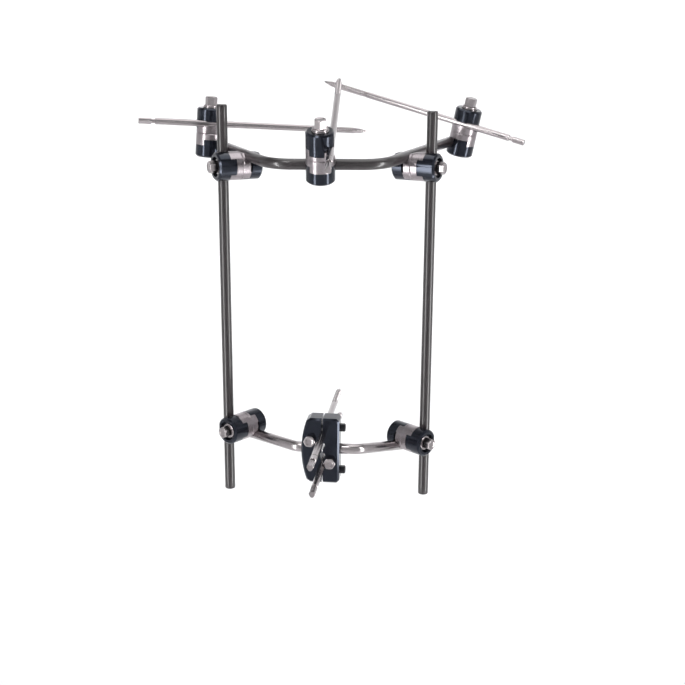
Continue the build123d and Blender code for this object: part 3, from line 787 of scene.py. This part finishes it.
class FIXATOR_OT_half_pins(bpy.types.Operator):
    """Half pins with their drive end, thread and drilling tip"""

    bl_idname = "fixator.half_pins"
    bl_label = "Half pins"

    def execute(self, context):
        size = context.scene.fixator_pins
        places = {f"{name}_half_pin": f"{name}_thread" for name in PIN_CLAMPS}
        places |= {f"distal_{level}_half_pin": f"distal_{level}_thread" for level in ("upper", "lower")}
        for node, mount in places.items():
            axis = unit(MOUNTS[mount]["axis"])
            start = np.array(MOUNTS[mount]["pos_m"]) - axis * (size.total - size.thread)
            dress(half_pin(f"{node}_threaded", start, axis), finish_of(node), node)
        return {"FINISHED"}


class FIXATOR_OT_clamp_bolts(bpy.types.Operator):
    """Flanged bolts and washers of couplings and pin clamps"""

    bl_idname = "fixator.clamp_bolts"
    bl_label = "Clamp bolts"

    def execute(self, context):
        size = context.scene.fixator_clamps
        places = []
        for level in ("upper", "lower"):
            for name in SIDES:
                seat = size.thick_plate + size.jaw - size.dish
                nodes = f"{level}_coupling_bolts", f"{level}_coupling_washers"
                place = coupling_place(level, name)
                places.append((f"{level}_{name}_coupling", *place, seat, size.thin_plate, nodes))
        for name in PIN_CLAMPS:
            joint = JOINTS[f"{name}_clamp_swivel"]
            seat = size.pin_plate + size.pin_jaw
            nodes = f"{name}_clamp_bolt", f"{name}_clamp_washer"
            centre, axis = np.array(joint["pos_m"]), unit(joint["axis"])
            places.append((f"{name}_clamp", centre, axis, None, seat, size.bar_plate, nodes))
        for name, centre, axis, mouth, seat, inner_plate, (bolt_node, washer_node) in places:
            under = seat + size.washer_t
            shank = under + inner_plate + size.jaw - size.bolt_recess
            bolt = headed_bolt(
                f"{name}_flanged_bolt", centre + axis * under, axis, size.bolt, shank, size.head,
                size.hexagon, size.flange, size.flange_t, mouth,
            )
            dress(bolt, finish_of(bolt_node), bolt_node)
            washer = flat_washer(
                f"{name}_flat_washer", centre + axis * seat, axis, size.washer / 2,
                size.bolt / 2 + size.bore_play, size.washer_t,
            )
            dress(washer, finish_of(washer_node), washer_node)
        return {"FINISHED"}


class FIXATOR_OT_clamps(bpy.types.Operator):
    """Jaws, plates and disc springs of couplings and pin clamps"""

    bl_idname = "fixator.clamps"
    bl_label = "Clamps"

    def execute(self, context):
        size = context.scene.fixator_clamps
        for node, shown in NODES.items():
            if node.startswith("block_"):
                continue
            if node.endswith(("_jaw", "_plate")):
                edge = size.jaw_edge if node.endswith("_jaw") else size.plate_edge
                dress(joined_copy(f"{node}_rounded", node, edge), finish_of(node), node)
            elif "disc_spring" in node:
                shown.data.materials.clear()
                shown.data.materials.append(finish_of(node))
        return {"FINISHED"}


class FIXATOR_OT_block(bpy.types.Operator):
    """Two-jaw block with its pinch screws and cross bolts"""

    bl_idname = "fixator.block"
    bl_label = "Block"

    def execute(self, context):
        size, clamps = context.scene.fixator_block, context.scene.fixator_clamps
        for node in ("block_right_jaw", "block_left_jaw"):
            dress(joined_copy(f"{node}_rounded", node, size.edge), finish_of(node), node)
        middle, sideways, into = block_place()
        for name, side in SIDES.items():
            aside = sideways * getattr(size, f"{name}_pinch") - UP * size.pinch_rise
            seat = middle + aside * side - into * size.depth / 2
            node = "block_pinch_screws"
            screw = headed_bolt(
                f"{name}_pinch_screw", seat, -into, size.pinch, size.depth, size.pinch_head,
                clamps.hexagon, hint=UP,
            )
            dress(screw, finish_of(node), node)
        for name, rise in (("upper", size.cross_rise), ("lower", -size.cross_rise)):
            seat = middle + UP * rise + sideways * size.right
            node = "block_cross_bolts"
            shank = size.right + size.left - size.bulge
            bolt = headed_bolt(
                f"{name}_cross_bolt", seat, sideways, size.cross, shank, size.cross_head,
                size.cross_hexagon, hint=UP,
            )
            dress(bolt, finish_of(node), node)
        return {"FINISHED"}


class FIXATOR_OT_stage(bpy.types.Operator):
    """Paper sweep, soft lights and camera"""

    bl_idname = "fixator.stage"
    bl_label = "Stage"

    def execute(self, context):
        scene, stage = context.scene, context.scene.fixator_stage
        # Sweep: a profile of flat floor, quarter round and wall, turned about Z and seen from inside
        flat, bend, wall, rows, columns = 0.9, 1.6, 3.6, 24, 96
        w = np.linspace(0, np.pi / 2, rows)
        reach = np.concatenate([[flat / 2], flat + bend * np.sin(w), [flat + bend]])
        rise = np.concatenate([[0.0], bend * (1 - np.cos(w)), [wall]])
        points, lay = turned(UP * stage.floor_level, -UP, -rise, reach[:, None], columns)
        sweep = skin("paper_sweep", points, lay, ends="open")
        sweep.data.materials.append(studio_sweep())

        # Each light's place, target, width and height, power in watts and spread in degrees. The two tall
        # strips draw the bright lines along the rods. The wash makes the wall behind as white as the floor,
        # and its narrow spread keeps it off the object
        lights = {
            "left_strip": ((-0.75, -0.7, -0.1), (-0.08, 0.0, -0.1), (0.12, 1.4), 8.0, 180),
            "right_strip": ((0.85, -0.45, -0.1), (0.08, 0.0, -0.1), (0.16, 1.4), 9.0, 180),
            "key": ((-0.4, -0.8, 1.35), (0.0, -0.03, 0.1), (0.4, 0.4), 4.0, 180),
            "top": ((0.2, 0.2, 1.6), (0.0, 0.0, 0.1), (1.6, 1.6), 14.0, 180),
            "wash": ((0.0, 0.7, 2.6), (0.0, 2.2, 0.3), (3.0, 0.8), 22.0, 90),
        }
        for name, (place, target, (width, height), power, spread) in lights.items():
            lamp = bpy.data.lights.new(name, "AREA")
            lamp.shape = "RECTANGLE"
            lamp.size, lamp.size_y, lamp.energy, lamp.spread = width, height, power, np.radians(spread)
            holder = bpy.data.objects.new(name, lamp)
            aim = (Vector(target) - Vector(place)).to_track_quat("-Z", "Y")
            holder.matrix_world = Matrix.Translation(place) @ aim.to_matrix().to_4x4()
            scene.collection.objects.link(holder)

        world = bpy.data.worlds.new("studio_room")
        world.use_nodes = True
        world.node_tree.nodes.clear()
        white, dim = (1.0, 1.0, 1.0, 1.0), 0.2
        room = add(world.node_tree, "ShaderNodeBackground", {"Color": white, "Strength": dim})
        add(world.node_tree, "ShaderNodeOutputWorld", {"Surface": room.outputs[0]})
        scene.world = world
        scene.view_settings.view_transform = "Standard"

        lens = bpy.data.cameras.new("camera")
        lens.lens, lens.sensor_width, lens.clip_end = stage.lens, 36.0, 20.0
        camera = bpy.data.objects.new("camera", lens)
        tilt = Matrix.Rotation(np.pi / 2 - stage.pitch, 4, "X") @ Matrix.Rotation(stage.roll, 4, "Z")
        camera.matrix_world = Matrix.Translation(stage.camera) @ tilt
        scene.collection.objects.link(camera)
        scene.camera = camera
        return {"FINISHED"}


class FIXATOR_PT_panel(bpy.types.Panel):
    """Steps that dress the fixator"""

    bl_label = "External fixator"
    bl_idname = "FIXATOR_PT_panel"
    bl_space_type = "VIEW_3D"
    bl_region_type = "UI"
    bl_category = "Fixator"

    def draw(self, context):
        for operator in OPERATORS:
            self.layout.operator(operator.bl_idname)


GROUPS = {
    "fixator_rods": FixatorRodSizes,
    "fixator_clamps": FixatorClampSizes,
    "fixator_block": FixatorBlockSizes,
    "fixator_pins": FixatorPinSizes,
    "fixator_finishes": FixatorFinishes,
    "fixator_stage": FixatorStage,
}
OPERATORS = (
    FIXATOR_OT_stage, FIXATOR_OT_rods, FIXATOR_OT_bar, FIXATOR_OT_posts, FIXATOR_OT_half_pins,
    FIXATOR_OT_clamp_bolts, FIXATOR_OT_clamps, FIXATOR_OT_block,
)


def register():
    """Adds the sizes to the scene, then the operators and the panel."""
    for name, group in GROUPS.items():
        bpy.utils.register_class(group)
        setattr(bpy.types.Scene, name, PointerProperty(type=group))
    for operator in OPERATORS:
        bpy.utils.register_class(operator)
    bpy.utils.register_class(FIXATOR_PT_panel)


def unregister():
    """Takes everything away again, in the opposite order."""
    bpy.utils.unregister_class(FIXATOR_PT_panel)
    for operator in reversed(OPERATORS):
        bpy.utils.unregister_class(operator)
    for name, group in reversed(GROUPS.items()):
        delattr(bpy.types.Scene, name)
        bpy.utils.unregister_class(group)


def main():
    """Dresses the frame with each operator in turn."""
    register()
    for operator in OPERATORS:
        group, name = operator.bl_idname.split(".")
        getattr(getattr(bpy.ops, group), name)()


if __name__ == "__main__":
    main()
